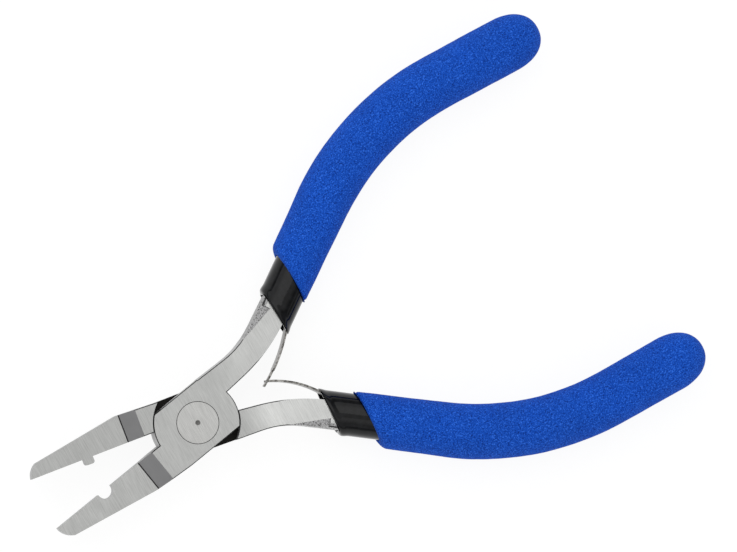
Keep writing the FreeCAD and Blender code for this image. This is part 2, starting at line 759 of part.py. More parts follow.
def spring_pin(half):
    """The rivet that holds the leaf's foot to the handle bar."""
    body = new_body(f"{half.name}_spring_pin")
    under = f"{foot_across()} - {size('leaf_thickness')} / 2"
    base = across_sketch(body, half, "HeadCircle", under)
    circle(base, "0", "0", f"{size('pin_head')} / 2")
    feature(body, "Pad", "PinHead", base, Length=size("pin_head_height"),
            Reversed=half.sign < 0)
    stem = across_sketch(body, half, "StemCircle", under)
    circle(stem, "0", "0", f"{size('pin_diameter')} / 2")
    feature(body, "Pad", "PinStem", stem, Length=f"{size('pin_depth')} + {size('leaf_thickness')}",
            Reversed=half.sign > 0)
    turn_with(body, half)
    return body


def open_leaf_angle(half):
    """Direction of a leaf from its hinge to the crossing, sprung open, in degrees."""
    turn = f"({size('open_angle')} / 2)"
    x = f"({size('mouth_place')})"
    rise = f"({size('leaf_foot')})"
    height = f"({x} * {sine(turn)} + {rise} * {cosine(turn)})"
    spread = f"(asin({height} / {size('leaf_length')}) / 1 deg)"
    return f"{half.sign} * (180 + {spread})"


def leaf_blade(half):
    """The free part of the leaf, drawn from its flexing line at the origin along +X."""
    body = new_body(f"{half.name}_leaf_blade")
    reach = size("leaf_length")
    past = size(f"{half.name}_leaf_past")
    side = f"{size('leaf_width')} / 2"
    start = size("leaf_start")
    sketch = new_sketch(body, "BladeOutline", role="XZ_Plane")
    if half is FRONT:
        narrow = f"{size('tongue_width')} / 2"
        shoulder = f"{reach} - {size('tongue_start')}"
        corners = [(start, f"-{side}"), (shoulder, f"-{side}"), (shoulder, f"-{narrow}"),
                   (f"{reach} + {past}", f"-{narrow}"), (f"{reach} + {past}", narrow),
                   (shoulder, narrow), (shoulder, side), (start, side)]
    else:
        corners = [(start, f"-{side}"), (f"{reach} + {past}", f"-{side}"),
                   (f"{reach} + {past}", side), (start, side)]
    outline(sketch, corners)
    feature(body, "Pad", "BladePad", sketch, Length=size("leaf_thickness"), SideType="Symmetric")
    if half is REAR:
        fork = new_sketch(body, "ForkOutline", role="XZ_Plane")
        hole = f"{size('tongue_width')} / 2 + {size('fork_side_gap')}"
        low = f"{reach} - {size('fork_depth')}"
        high = f"{reach} + {past} + {PAST}"
        outline(fork, [(low, f"-({hole})"), (high, f"-({hole})"), (high, hole), (low, hole)])
        cut(body, "Pocket", "Fork", fork, Type="ThroughAll", SideType="Symmetric")
    turn = f"({half.sign} * {size('open_angle')} / 2)"
    x = size("mouth_place")
    y = f"({half.y(size('leaf_foot'))})"
    body.Placement = FreeCAD.Placement(FreeCAD.Vector(), FreeCAD.Rotation(FreeCAD.Vector(0, 0, 1), 1))
    body.setExpression("Placement.Rotation.Angle", f"({open_leaf_angle(half)}) * 1 deg")
    body.setExpression("Placement.Base.x",
                       f"({x} * {cosine(turn)} - {y} * {sine(turn)}) * 1 mm")
    body.setExpression("Placement.Base.y",
                       f"({x} * {sine(turn)} + {y} * {cosine(turn)}) * 1 mm")
    body.setExpression("Placement.Base.z", f"({MIDDLE}) * 1 mm")
    return body


def pipe_along(body, half, kind, name, section, start, tail):
    path = handle_path(body, half, name + "Path", start, tail)
    pipe = body.newObject(f"PartDesign::{kind}", name)
    pipe.Profile = section
    pipe.Spine = (path, [f"Edge{i}" for i in (1, 2, 3)])
    body.Tip = pipe
    section.Visibility = False
    rebuild()


def bar_section(body, half, name, start, inner_wall, outer_wall, side_wall, corner):
    """A rounded section round the handle bar, with its own wall on each side."""
    section = handle_section(body, half, name, start)
    half_width = f"{size('tang_width')} / 2"
    rounded_box(section, f"-({half_width} + {inner_wall})", f"{half_width} + {outer_wall}",
                f"{TANG_THICKNESS} / 2 + {side_wall}", corner)
    return section


def mouth_cut(body, half, place, lean):
    """Cuts the tube off at a mouth that leans outwards from square to X."""
    centre = f"({size('mouth_height')} + ({place} - {size('mouth_place')}) * {tangent(SPREAD)})"
    shift = f"{WIDE} * {tangent(lean)}"
    corners = [
        (f"{place} + {shift}", half.y(f"{centre} + {WIDE}")),
        (f"{place} - {shift}", half.y(f"{centre} - {WIDE}")),
        (f"{place} - {shift} - {WIDE}", half.y(f"{centre} - {WIDE}")),
        (f"{place} - {shift} - {WIDE}", half.y(f"{centre} + {WIDE}")),
    ]
    sketch = new_sketch(body, "MouthOutline")
    outline(sketch, corners)
    cut(body, "Pocket", "Mouth", sketch, Type="ThroughAll", SideType="Symmetric")


def leaf_cover_length():
    """From the start of the tube to just past the leaf's foot."""
    return f"{foot_along()} + {size('leaf_foot_length')} + {size('cover_past')} - ({TUBE_START})"


def leaf_side_wall():
    """The sleeve's wall on the side of the handle bar that holds the leaf."""
    return (f"({size('dip_cover')} + {size('leaf_thickness')} / 2 - {leaf_root_across()}"
            f" - {size('tang_width')} / 2)")


def blade_drop():
    """How far the blade has turned towards the slot's floor where it leaves the sleeve."""
    inside = f"{tangent(size('mouth_lean'))} * ({size('mouth_height')} - {size('leaf_foot')})"
    turned = f"({open_leaf_angle(FRONT)} - 180 - {size('open_angle')} / 2 - {SPREAD})"
    return f"{inside} / {cosine(SPREAD)} * {tangent(turned)}"


def square_space(body, half, name, low, high, half_z, length):
    """Cuts a square space into a sleeve, from where the tube starts."""
    section = handle_section(body, half, name + "Section", TUBE_START)
    outline(section, [(low, f"-{half_z}"), (high, f"-{half_z}"), (high, half_z), (low, half_z)])
    cut(body, "Pocket", name, section, Length=length, Reversed=half.sign > 0)


def dip_sleeve(half):
    """Black dipped sleeve: closed at its far end, thicker over the leaf."""
    body = new_body(f"{half.name}_dip_sleeve")
    wall = size("dip_wall")
    gap = size("dip_gap")
    outer = bar_section(body, half, "SleeveSection", TUBE_START, wall, wall, wall, size("dip_corner"))
    pipe_along(body, half, "AdditivePipe", "Sleeve", outer, TUBE_START,
               f"{tang_tail(half)} + {size('dip_end_wall')}")
    cover = bar_section(body, half, "CoverSection", TUBE_START, leaf_side_wall(), wall, wall,
                        size("dip_corner"))
    feature(body, "Pad", "LeafCover", cover, Length=leaf_cover_length(), Reversed=half.sign < 0)
    bore = bar_section(body, half, "BoreSection", TUBE_START, gap, gap, gap, size("tang_corner"))
    pipe_along(body, half, "SubtractivePipe", "Bore", bore, TUBE_START, f"{tang_tail(half)} + {gap}")
    slot_floor = (f"{leaf_root_across()} - {size('leaf_thickness')} / 2 - {size('slot_gap')}"
                  f" - {blade_drop()}")
    square_space(body, half, "LeafSlot", slot_floor, "0",
                 f"({size('leaf_width')} / 2 + {size('slot_gap')})",
                 f"{leaf_cover_length()} - {size('cover_end_wall')}")
    side = f"({size('tang_width')} / 2 + {gap})"
    square_space(body, half, "ShankSpace", f"-{side}", side, f"({TANG_THICKNESS} / 2 + {gap})",
                 f"{PAST} + {gap} - ({TUBE_START})")
    mouth_cut(body, half, size("mouth_place"), size("mouth_lean"))
    turn_with(body, half)
    return body


def foam_grip(half):
    """Foam tube with a closed round end, pulled over the sleeve."""
    body = new_body(f"{half.name}_foam_grip")
    outer = handle_section(body, half, "GripSection", TUBE_START)
    half_width = f"({size('tang_width')} / 2 + {size('grip_wall')})"
    oval(outer, half_width, f"({TANG_THICKNESS} / 2 + {size('grip_side_wall')})")
    pipe_along(body, half, "AdditivePipe", "Grip", outer, TUBE_START, tail_of(half))
    end_from = number(f"{bend_point(half, size('bend_angle'), tail_of(half))[0]} - {half_width}")

    def at_far_end(edge):
        return edge.CenterOfMass.x > end_from

    dress(body, "Fillet", "FarEnd", at_far_end, "Radius", size("grip_end_round"))
    gap = size("grip_gap")
    wall = f"{size('dip_wall')} + {gap}"
    bore = bar_section(body, half, "BoreSection", TUBE_START, wall, wall, wall, size("dip_corner"))
    pipe_along(body, half, "SubtractivePipe", "Bore", bore, TUBE_START,
               f"{tang_tail(half)} + {size('dip_end_wall')} + {gap}")
    cover = bar_section(body, half, "CoverSection", TUBE_START, f"{leaf_side_wall()} + {gap}", wall,
                        wall, size("dip_corner"))
    cut(body, "Pocket", "CoverSpace", cover, Length=f"{leaf_cover_length()} + {gap}",
        Reversed=half.sign > 0)
    mouth_cut(body, half, GRIP_MOUTH, size("grip_mouth_lean"))
    turn_with(body, half)
    return body


# ---- checks and files -----------------------------------------------------------------

def write_parts(bodies):
    os.makedirs("parts", exist_ok=True)
    for body in bodies:
        shape = body.Shape
        if shape.isNull() or not shape.isValid() or len(shape.Solids) != 1:
            raise RuntimeError(f"{body.Label} isn't one valid solid")
        shape.exportStep(f"parts/{body.Label}.step")


def main():
    fill_sheet()
    bodies = [pivot_rivet()]
    for half in (FRONT, REAR):
        bodies += [steel_half(half), leaf_root(half), leaf_blade(half), spring_pin(half),
                   dip_sleeve(half), foam_grip(half)]
    rebuild()
    write_parts(bodies)
    for body in bodies:
        print(f"{body.Label}: {body.Shape.Volume:.1f} mm3")


main()
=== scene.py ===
"""Looks of the sprung snap setting pliers, laid out as an add-on and run as a script."""
import math

import bmesh
import bpy
from mathutils import Matrix, Vector, noise


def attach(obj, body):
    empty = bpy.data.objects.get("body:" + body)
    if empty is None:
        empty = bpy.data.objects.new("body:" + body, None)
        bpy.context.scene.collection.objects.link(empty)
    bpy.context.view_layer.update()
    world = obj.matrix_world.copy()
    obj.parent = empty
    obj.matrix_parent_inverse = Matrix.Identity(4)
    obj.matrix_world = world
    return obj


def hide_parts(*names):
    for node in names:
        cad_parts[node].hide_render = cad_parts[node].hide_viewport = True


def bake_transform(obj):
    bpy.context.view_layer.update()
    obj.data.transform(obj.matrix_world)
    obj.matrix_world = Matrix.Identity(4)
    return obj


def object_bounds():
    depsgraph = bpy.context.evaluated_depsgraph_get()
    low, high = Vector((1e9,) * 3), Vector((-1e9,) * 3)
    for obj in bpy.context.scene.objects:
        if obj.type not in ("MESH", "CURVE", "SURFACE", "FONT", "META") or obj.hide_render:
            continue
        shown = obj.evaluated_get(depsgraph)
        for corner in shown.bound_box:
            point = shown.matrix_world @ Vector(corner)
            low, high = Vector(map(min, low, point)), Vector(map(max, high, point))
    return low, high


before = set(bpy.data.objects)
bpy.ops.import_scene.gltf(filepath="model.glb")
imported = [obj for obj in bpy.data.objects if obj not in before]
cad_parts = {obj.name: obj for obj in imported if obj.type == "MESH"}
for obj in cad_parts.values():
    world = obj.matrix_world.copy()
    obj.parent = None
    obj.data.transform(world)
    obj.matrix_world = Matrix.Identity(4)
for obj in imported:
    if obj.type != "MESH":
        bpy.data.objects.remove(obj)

bl_info = {
    "name": "Snap Setting Pliers",
    "version": (1, 0, 0),
    "blender": (4, 5, 0),
    "location": "3D View > Sidebar > Pliers",
    "description": "Foam grips, dipped sleeves, leaf springs and finishes for the packed pliers",
    "category": "Object",
}

MM = 0.001
CAD_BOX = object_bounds()

# The handle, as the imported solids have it: a straight run from the sleeve's mouth, one bend
# towards the middle, and a straight tail. A half is described closed and then opened.
HALF_OPENING = math.radians(9.0)
RIVET_OFFSET = 0.45 * MM
MIDDLE_Z = 4.4 * MM
MOUTH = (26.5 * MM, 8.2 * MM)
SPREAD = math.radians(26.9)
BEND_START = 24.0 * MM
BEND_RADIUS = 57.0 * MM
BEND_TURN = math.radians(36.4)
SIGNS = {"front": 1, "rear": -1}
TAILS = {"front": 23.2 * MM, "rear": 21.4 * MM}
LEAF_ROOT = (-2.13 * MM, -4.19 * MM)
LEAF_FOOT = (8.21 * MM, -3.1 * MM)
LEAF_END = (13.8 * MM, -3.1 * MM)


# ---- shared helpers -------------------------------------------------------------------

def linear(hexa):
    """A linear colour from an sRGB hex value."""
    parts = [int(hexa[i:i + 2], 16) / 255 for i in (1, 3, 5)]
    return (*[c / 12.92 if c <= 0.04045 else ((c + 0.055) / 1.055) ** 2.4 for c in parts], 1.0)


def handle_place(side, along, across=0.0, z=MIDDLE_Z):
    """A point by a handle's middle line, opened: along it from the mouth, and outwards."""
    turned = min(max(along - BEND_START, 0) / BEND_RADIUS, BEND_TURN)
    way = SPREAD - turned
    straight = min(along, BEND_START)
    beyond = max(along - BEND_START - BEND_RADIUS * BEND_TURN, 0)
    x = MOUTH[0] + straight * math.cos(SPREAD) + beyond * math.cos(way)
    height = MOUTH[1] + straight * math.sin(SPREAD) + beyond * math.sin(way)
    x += BEND_RADIUS * (math.sin(SPREAD) - math.sin(way))
    height += BEND_RADIUS * (math.cos(way) - math.cos(SPREAD))
    x -= across * math.sin(way)
    height += across * math.cos(way)
    sign = SIGNS[side]
    closed = Vector((x, RIVET_OFFSET + sign * height, z))
    return Matrix.Rotation(sign * HALF_OPENING, 3, "Z") @ closed


def ease(value, low, high):
    """0 below low, 1 above high, smooth between."""
    t = min(max((value - low) / (high - low), 0), 1)
    return t * t * (3 - 2 * t)


def mesh_object(name, vertices, faces, material):
    """A smooth shaded object with its normals turned outwards."""
    mesh = bpy.data.meshes.new(name)
    mesh.from_pydata([tuple(v) for v in vertices], [], faces)
    shape = bmesh.new()
    shape.from_mesh(mesh)
    bmesh.ops.recalc_face_normals(shape, faces=shape.faces)
    shape.to_mesh(mesh)
    shape.free()
    mesh.polygons.foreach_set("use_smooth", [True] * len(mesh.polygons))
    mesh.materials.append(material)
    made = bpy.data.objects.new(name, mesh)
    bpy.context.scene.collection.objects.link(made)
    return made


def skin(rings):
    """Faces between closed rings of equal count, with the first and last ring capped."""
    count = len(rings[0])
    vertices = [point for ring in rings for point in ring]
    faces = []
    for row in range(len(rings) - 1):
        for col in range(count):
            after = (col + 1) % count
            faces.append((row * count + col, row * count + after,
                          (row + 1) * count + after, (row + 1) * count + col))
    faces.append(tuple(range(count - 1, -1, -1)))
    faces.append(tuple((len(rings) - 1) * count + col for col in range(count)))
    return vertices, faces


def add_node(tree, kind, links=None, **settings):
    """A node with its settings; links go from input names to values or output sockets."""
    node = tree.nodes.new(kind)
    for key, value in settings.items():
        setattr(node, key, value)
    for key, value in (links or {}).items():
        if isinstance(value, bpy.types.NodeSocket):
            tree.links.new(value, node.inputs[key])
        else:
            node.inputs[key].default_value = value
    return node


def new_material(name):
    """An empty material, its tree and its output."""
    material = bpy.data.materials.new(name)
    material.use_nodes = True
    tree = material.node_tree
    tree.nodes.clear()
    return material, tree, add_node(tree, "ShaderNodeOutputMaterial")


def colour_stops(ramp, stops):
    """Sets a colour ramp's stops from (place, hex) pairs."""
    elements = ramp.color_ramp.elements
    while len(elements) < len(stops):
        elements.new(0.5)
    for element, (place, hexa) in zip(elements, stops):
        element.position = place
        element.color = linear(hexa)


def paint_node(name, material):
    """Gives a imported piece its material."""
    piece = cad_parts[name]
    if not piece.material_slots:
        piece.data.materials.append(material)
    for place in piece.material_slots:
        place.material = material


# ---- settings -------------------------------------------------------------------------

class FoamSettings(bpy.types.PropertyGroup):
    """Sizes and colours of the foam grips."""
    colour: bpy.props.StringProperty(
        name="Foam colour", description="Body colour of the foam, sRGB hex", default="#0a4cbc")
    # The pore rim colour is a painted highlight and the pore colour a painted shade, both following
    # the skin's relief.
    rim_highlight: bpy.props.StringProperty(
        name="Pore rim colour", description="Colour of the walls between pores, sRGB hex",
        default="#3c7ef6")
    deep: bpy.props.StringProperty(
        name="Pore colour", description="Colour inside the pores, sRGB hex", default="#02236f")
    pore: bpy.props.FloatProperty(
        name="Pore spacing", description="Spacing of the pores in the foam's skin",
        default=0.30 * MM, unit="LENGTH", precision=5)
    waviness: bpy.props.FloatProperty(
        name="Waviness", description="How far the moulded skin strays from its smooth shape",
        default=0.09 * MM, unit="LENGTH", precision=5)


class SleeveSettings(bpy.types.PropertyGroup):
    """Sizes and colours of the dipped sleeves."""
    colour: bpy.props.StringProperty(
        name="Vinyl colour", description="Colour of the dipped vinyl, sRGB hex",
        default="#060708")
    lip: bpy.props.FloatProperty(
        name="Lip", description="How far the rolled lip stands out", default=0.15 * MM,
        unit="LENGTH", precision=5)


class SteelSettings(bpy.types.PropertyGroup):
    """Colours and grain of the ground steel."""
    colour: bpy.props.StringProperty(
        name="Steel colour", description="Surface ground steel, sRGB hex", default="#cecfcd")
    ramp: bpy.props.StringProperty(
        name="Ramp colour", description="Steel left from the coarse wheel, sRGB hex",
        default="#d0d0d0")
    scale: bpy.props.StringProperty(
        name="Forging colour", description="Dark skin of the forging, sRGB hex",
        default="#3b3a38")
    grain: bpy.props.FloatProperty(
        name="Grain", description="Spacing of the grinding lines", default=0.11 * MM,
        unit="LENGTH", precision=5)
    stroke: bpy.props.FloatProperty(
        name="Stroke", description="Length of a grinding line", default=4.0 * MM,
        unit="LENGTH", precision=5)


class LeafSettings(bpy.types.PropertyGroup):
    """Shape and colour of the leaf springs."""
    # The default is set darker than bright strip steel: painted shade for the strip seen edge-on,
    # its face below in shadow.
    colour: bpy.props.StringProperty(
        name="Spring steel colour", description="Bright rolled strip, sRGB hex",
        default="#84827e")
    front_bow: bpy.props.FloatProperty(
        name="Front bow", description="How far the sprung front leaf bows",
        default=0.5 * MM, unit="LENGTH", precision=5)
    rear_bow: bpy.props.FloatProperty(
        name="Rear bow", description="How far the sprung rear leaf bows",
        default=0.85 * MM, unit="LENGTH", precision=5)


class StageSettings(bpy.types.PropertyGroup):
    """Floor, light and camera."""
    distance: bpy.props.FloatProperty(
        name="Camera distance", description="Camera to the tool", default=1.40,
        unit="LENGTH")
    lens: bpy.props.FloatProperty(
        name="Lens", description="Focal length in millimetres", default=333.9)
    sky: bpy.props.FloatProperty(
        name="Sky", description="Plain light from all round", default=0.62)
    key: bpy.props.FloatProperty(
        name="Key light", description="Power of the large soft lamp", default=1.6,
        unit="POWER")
    fill: bpy.props.FloatProperty(
        name="Fill light", description="Power of the second soft lamp", default=0.55,
        unit="POWER")


# ---- foam grips -----------------------------------------------------------------------

def foam_material(look):
    """Closed-cell nitrile foam with its moulded skin.

    It gives the eye a dry, even, saturated colour with no shine, broken by fine dense grains, some
    paler and some darker than the rest: painted highlight on the rims and painted shade in the
    pores.
    """
    material, tree, output = new_material("NitrileFoamMouldedSkin")
    place = add_node(tree, "ShaderNodeTexCoord")
    # Real cells are about 0.15 mm across, so they are drawn twice as coarse to show.
    cells = add_node(tree, "ShaderNodeTexNoise",
                     {"Vector": place.outputs["Object"], "Scale": 1 / look.pore,
                      "Detail": 3.0, "Roughness": 0.8})
    # Painted shade and painted highlight: the colour follows the bump's height, darker in the pores
    # and paler on the rims between them.
    ramp = add_node(tree, "ShaderNodeValToRGB", {"Fac": cells.outputs["Fac"]})
    colour_stops(ramp, [(0.36, look.deep), (0.47, look.colour), (0.53, look.colour),
                        (0.66, look.rim_highlight)])
    drift = add_node(tree, "ShaderNodeTexNoise",
                     {"Vector": place.outputs["Object"], "Scale": 1 / (9 * MM), "Detail": 2.0})
    shade = add_node(tree, "ShaderNodeMapRange",
                     {"Value": drift.outputs["Fac"], "From Min": 0.3, "From Max": 0.7,
                      "To Min": 0.94, "To Max": 1.06})
    tint = add_node(tree, "ShaderNodeHueSaturation",
                    {"Color": ramp.outputs["Color"], "Value": shade.outputs["Result"]})
    bump = add_node(tree, "ShaderNodeBump",
                    {"Height": cells.outputs["Fac"], "Strength": 0.5, "Distance": 0.10 * MM})
    rough = add_node(tree, "ShaderNodeMapRange",
                     {"Value": cells.outputs["Fac"], "To Min": 0.78, "To Max": 0.95})
    shader = add_node(tree, "ShaderNodeBsdfPrincipled",
                      {"Base Color": tint.outputs["Color"], "Roughness": rough.outputs["Result"],
                       "Normal": bump.outputs["Normal"], "IOR": 1.25})
    tree.links.new(shader.outputs[0], output.inputs["Surface"])
    return material


FOAM_MOUTH = 7.96 * MM
FOAM_LEAN = math.tan(SPREAD + math.radians(6.5))
FOAM_SIDE = 6.4 * MM
FOAM_WIDTHS = ((0.0, 5.45), (6.0, 5.5), (22.0, 5.72), (48.0, 5.78), (64.0, 5.8), (80.0, 5.8))
ROUND_END = 8.0 * MM
ROUND_EDGE = 1.0 * MM
SNUG = 0.05 * MM
END_POWER = 2.25
RING_POINTS = 72


def foam_half_width(beyond_mouth):
    """Half the grip's width in the plane of the tool, in metres."""
    for (low, first), (high, last) in zip(FOAM_WIDTHS, FOAM_WIDTHS[1:]):
        if beyond_mouth <= high * MM:
            return (first + (last - first) * ease(beyond_mouth, low * MM, high * MM)) * MM
    return FOAM_WIDTHS[-1][1] * MM


def leaned_ring(side, along, half_width, half_side, lean, power=2.0, middle=0.0):
    """A ring of points round the handle, sheared along it so that its outer side is further."""
    ring = []
    for index in range(RING_POINTS):
        turn = 2 * math.pi * index / RING_POINTS
        c, s = math.cos(turn), math.sin(turn)
        across = middle + half_width * math.copysign(abs(c) ** (2 / power), c)
        z = half_side * math.copysign(abs(s) ** (2 / power), s)
        ring.append(handle_place(side, along + lean * across, across, MIDDLE_Z + z))
    return ring


def foam_rings(side):
    """Rings of a grip: out of its pocket, round the mouth, along it and round the end."""
    end = BEND_START + BEND_RADIUS * BEND_TURN + TAILS[side]
    rings = [sleeve_ring(side, FOAM_MOUTH + inside, SNUG, FOAM_LEAN)
             for inside in (5.0 * MM, 2.5 * MM, ROUND_EDGE)]
    for step in range(5):
        turn = math.pi / 2 * step / 4
        inset = 0.35 * MM * (1 - math.cos(turn))
        rings.append(sleeve_ring(side, FOAM_MOUTH + 0.35 * MM * (1 - math.sin(turn)), SNUG + inset,
                                 FOAM_LEAN))
    for step in range(9):
        turn = math.pi / 2 * step / 8
        out = ROUND_EDGE * (1 - math.sin(turn))
        rings.append(leaned_ring(side, FOAM_MOUTH + ROUND_EDGE * (1 - math.cos(turn)),
                                 foam_half_width(0) - out, FOAM_SIDE - out, FOAM_LEAN))
    steps = 150
    for step in range(1, steps + 1):
        along = FOAM_MOUTH + ROUND_EDGE + (end - ROUND_END - FOAM_MOUTH - ROUND_EDGE) * step / steps
        lean = FOAM_LEAN * (1 - ease(along, FOAM_MOUTH + 2 * MM, FOAM_MOUTH + 26 * MM))
        rings.append(leaned_ring(side, along, foam_half_width(along - FOAM_MOUTH), FOAM_SIDE, lean))
    for step in range(1, 25):
        turn = math.pi / 2 * step / 24.5
        size = math.cos(turn) ** (2 / END_POWER)
        along = end - ROUND_END + ROUND_END * math.sin(turn) ** (2 / END_POWER)
        rings.append(leaned_ring(side, along, foam_half_width(along) * size, FOAM_SIDE * size, 0.0))
    return rings


def waver(vertices, reach):
    """Small smooth waves in a moulded skin, the same on every run."""
    moved = []
    for point in vertices:
        slow = noise.noise_vector(point / (7 * MM))
        quick = noise.noise_vector(point / (2.1 * MM))
        moved.append(point + (slow * 0.7 + quick * 0.3) * reach)
    return moved


class PLIERS_OT_foam_grips(bpy.types.Operator):
    """Makes the two foam grips."""
    bl_idname = "pliers.foam_grips"
    bl_label = "Foam grips"

    def execute(self, context):
        look = context.scene.pliers_foam
        material = foam_material(look)
        for side in SIGNS:
            vertices, faces = skin(foam_rings(side))
            grip = mesh_object(f"{side}_grip_foam", waver(vertices, look.waviness), faces, material)
            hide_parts(f"{side}_foam_grip")
            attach(grip, f"{side}_lever")
        return {"FINISHED"}


# ---- dipped sleeves -------------------------------------------------------------------

def vinyl_material(look):
    """Plasticised vinyl, dipped and cured.

    It gives the eye a wet black with sharp long reflections, very slightly rippled where
    the dip ran, and a few dull finger smears.
    """
    material, tree, output = new_material("PlasticisedVinylDipped")
    place = add_node(tree, "ShaderNodeTexCoord")
    runs = add_node(tree, "ShaderNodeTexNoise",
                    {"Vector": place.outputs["Object"], "Scale": 1 / (2.4 * MM), "Detail": 2.0})
    smear = add_node(tree, "ShaderNodeTexNoise",
                     {"Vector": place.outputs["Object"], "Scale": 1 / (1.1 * MM), "Detail": 5.0})
    rough = add_node(tree, "ShaderNodeMapRange",
                     {"Value": smear.outputs["Fac"], "From Min": 0.35, "From Max": 0.75,
                      "To Min": 0.05, "To Max": 0.12})
    dust = add_node(tree, "ShaderNodeValToRGB", {"Fac": smear.outputs["Fac"]})
    colour_stops(dust, [(0.4, look.colour), (0.8, "#17181b")])
    bump = add_node(tree, "ShaderNodeBump",
                    {"Height": runs.outputs["Fac"], "Strength": 0.2, "Distance": 0.08 * MM})
    shader = add_node(tree, "ShaderNodeBsdfPrincipled",
                      {"Base Color": dust.outputs["Color"], "Roughness": rough.outputs["Result"],
                       "Normal": bump.outputs["Normal"], "IOR": 1.33})
    tree.links.new(shader.outputs[0], output.inputs["Surface"])
    return material


SLEEVE_LEAN = math.tan(SPREAD + math.radians(5.5))
SLEEVE_OUTER = 3.85 * MM
SLEEVE_INNER = 4.99 * MM
SLEEVE_SIDE = 4.65 * MM
SLEEVE_POWER = 2.2
POCKET_OUTER = 2.93 * MM
POCKET_INNER = 4.42 * MM
POCKET_SIDE = 3.73 * MM
POCKET_POWER = 4.5


def sleeve_ring(side, along, grow, lean):
    """A ring of the sleeve's outside, grown or shrunk by some distance."""
    half = (SLEEVE_OUTER + SLEEVE_INNER) / 2 + grow
    middle = (SLEEVE_OUTER - SLEEVE_INNER) / 2
    return leaned_ring(side, along, half, SLEEVE_SIDE + grow, lean, SLEEVE_POWER, middle)


def pocket_ring(side, along, grow, lean):
    """A ring of the sleeve's inside, round the handle bar and the leaf."""
    half = (POCKET_OUTER + POCKET_INNER) / 2 + grow
    middle = (POCKET_OUTER - POCKET_INNER) / 2
    return leaned_ring(side, along, half, POCKET_SIDE + grow, lean, POCKET_POWER, middle)


def sleeve_rings(side, lip):
    """Rings of a sleeve: from inside it, over the rolled lip and on under the foam."""
    rings = [pocket_ring(side, 6 * MM, 0.0, SLEEVE_LEAN),
             pocket_ring(side, 1.2 * MM, 0.0, SLEEVE_LEAN)]
    wall = SLEEVE_OUTER - POCKET_OUTER
    round_edge = wall / 2
    for step in range(7):
        turn = math.pi / 2 * step / 6
        grow = round_edge * (1 - math.cos(turn))
        rings.append(pocket_ring(side, round_edge * (1 - math.sin(turn)), grow, SLEEVE_LEAN))
    for step in range(1, 9):
        turn = math.pi / 2 * step / 8
        grow = lip - (round_edge + lip) * (1 - math.sin(turn))
        rings.append(sleeve_ring(side, round_edge * (1 - math.cos(turn)), grow, SLEEVE_LEAN))
    for step in range(1, 9):
        share = step / 8
        rings.append(sleeve_ring(side, round_edge + 1.5 * MM * share,
                                 lip * (1 - ease(share, 0.1, 1.0)), SLEEVE_LEAN))
    for step in range(1, 21):
        rings.append(sleeve_ring(side, (1.96 + 14.6 * step / 20) * MM, 0.0, SLEEVE_LEAN))
    return rings


class PLIERS_OT_dipped_sleeves(bpy.types.Operator):
    """Makes the two dipped sleeves as far as the foam hides them."""
    bl_idname = "pliers.dipped_sleeves"
    bl_label = "Dipped sleeves"

    def execute(self, context):
        look = context.scene.pliers_sleeves
        material = vinyl_material(look)
        for side in SIGNS:
            vertices, faces = skin(sleeve_rings(side, look.lip))
            sleeve = mesh_object(f"{side}_sleeve_vinyl", vertices, faces, material)
            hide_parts(f"{side}_dip_sleeve")
            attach(sleeve, f"{side}_lever")
        return {"FINISHED"}


# ---- leaf springs ---------------------------------------------------------------------

def spring_material(look):
    """Carbon spring steel, cold rolled and blue-annealed at its edges.

    It gives the eye a bright strip with dark specks and darker slit edges, its colour set darker as
    painted shade for a strip seen edge-on.
    """
    material, tree, output = new_material("SpringSteelColdRolled")
    place = add_node(tree, "ShaderNodeTexCoord")
    streaks = add_node(tree, "ShaderNodeTexNoise",
                       {"Vector": place.outputs["Object"], "Scale": 1 / (0.5 * MM),
                        "Detail": 4.0, "Roughness": 0.65})
    ramp = add_node(tree, "ShaderNodeValToRGB", {"Fac": streaks.outputs["Fac"]})
    colour_stops(ramp, [(0.36, "#3a3835"), (0.52, look.colour), (0.8, "#c9c8c4")])
    rough = add_node(tree, "ShaderNodeMapRange",
                     {"Value": streaks.outputs["Fac"], "To Min": 0.2, "To Max": 0.42})
    bump = add_node(tree, "ShaderNodeBump",
                    {"Height": streaks.outputs["Fac"], "Strength": 0.2, "Distance": 0.03 * MM})
    shader = add_node(tree, "ShaderNodeBsdfPrincipled",
                      {"Base Color": ramp.outputs["Color"], "Roughness": rough.outputs["Result"],
                       "Normal": bump.outputs["Normal"], "Metallic": 1.0})
    tree.links.new(shader.outputs[0], output.inputs["Surface"])
    return material


LEAF_THICKNESS = 0.4 * MM
LEAF_REACH = 11.5 * MM
LEAF_HALF = 2.4 * MM
TONGUE_HALF = 1.0 * MM
# Bowed strips meet more steeply than straight ones, so both slots are cut deep enough
# for the leaves to pass as the handles close.
TONGUE_START = 2.5 * MM
FORK_HALF = 1.3 * MM
FORK_DEPTH = 2.0 * MM
LEAF_PAST = {"front": 1.2 * MM, "rear": 0.45 * MM}
BLADE_WAY = {"front": math.radians(221.382), "rear": math.radians(138.618)}


def leaf_line(side, place, bow):
    """The leaf's middle line: 0 at the sleeve's mouth, negative inside, positive outside."""
    root = handle_place(side, *LEAF_ROOT)
    foot = handle_place(side, *LEAF_FOOT)
    run = (foot - root).length
    slope = 4 * bow / LEAF_REACH
    out = Vector((math.cos(BLADE_WAY[side]), math.sin(BLADE_WAY[side]), 0))
    aside = Vector((0, 0, SIGNS[side])).cross(out)
    if place >= 0:
        share = place / LEAF_REACH
        return root + out * place + aside * 4 * bow * share * (1 - share)
    if place >= -run:
        inward = (foot - root) / run
        return root + inward * -place + aside * slope * place * math.exp(place / (1.6 * MM))
    end = handle_place(side, *LEAF_END)
    return foot + (end - foot).normalized() * (-place - run)


def leaf_is_there(side, place, z):
    """Whether the strip has metal at a place along it and across it."""
    if side == "front":
        return abs(z) < TONGUE_HALF or place < LEAF_REACH - TONGUE_START
    return abs(z) > FORK_HALF or place < LEAF_REACH - FORK_DEPTH


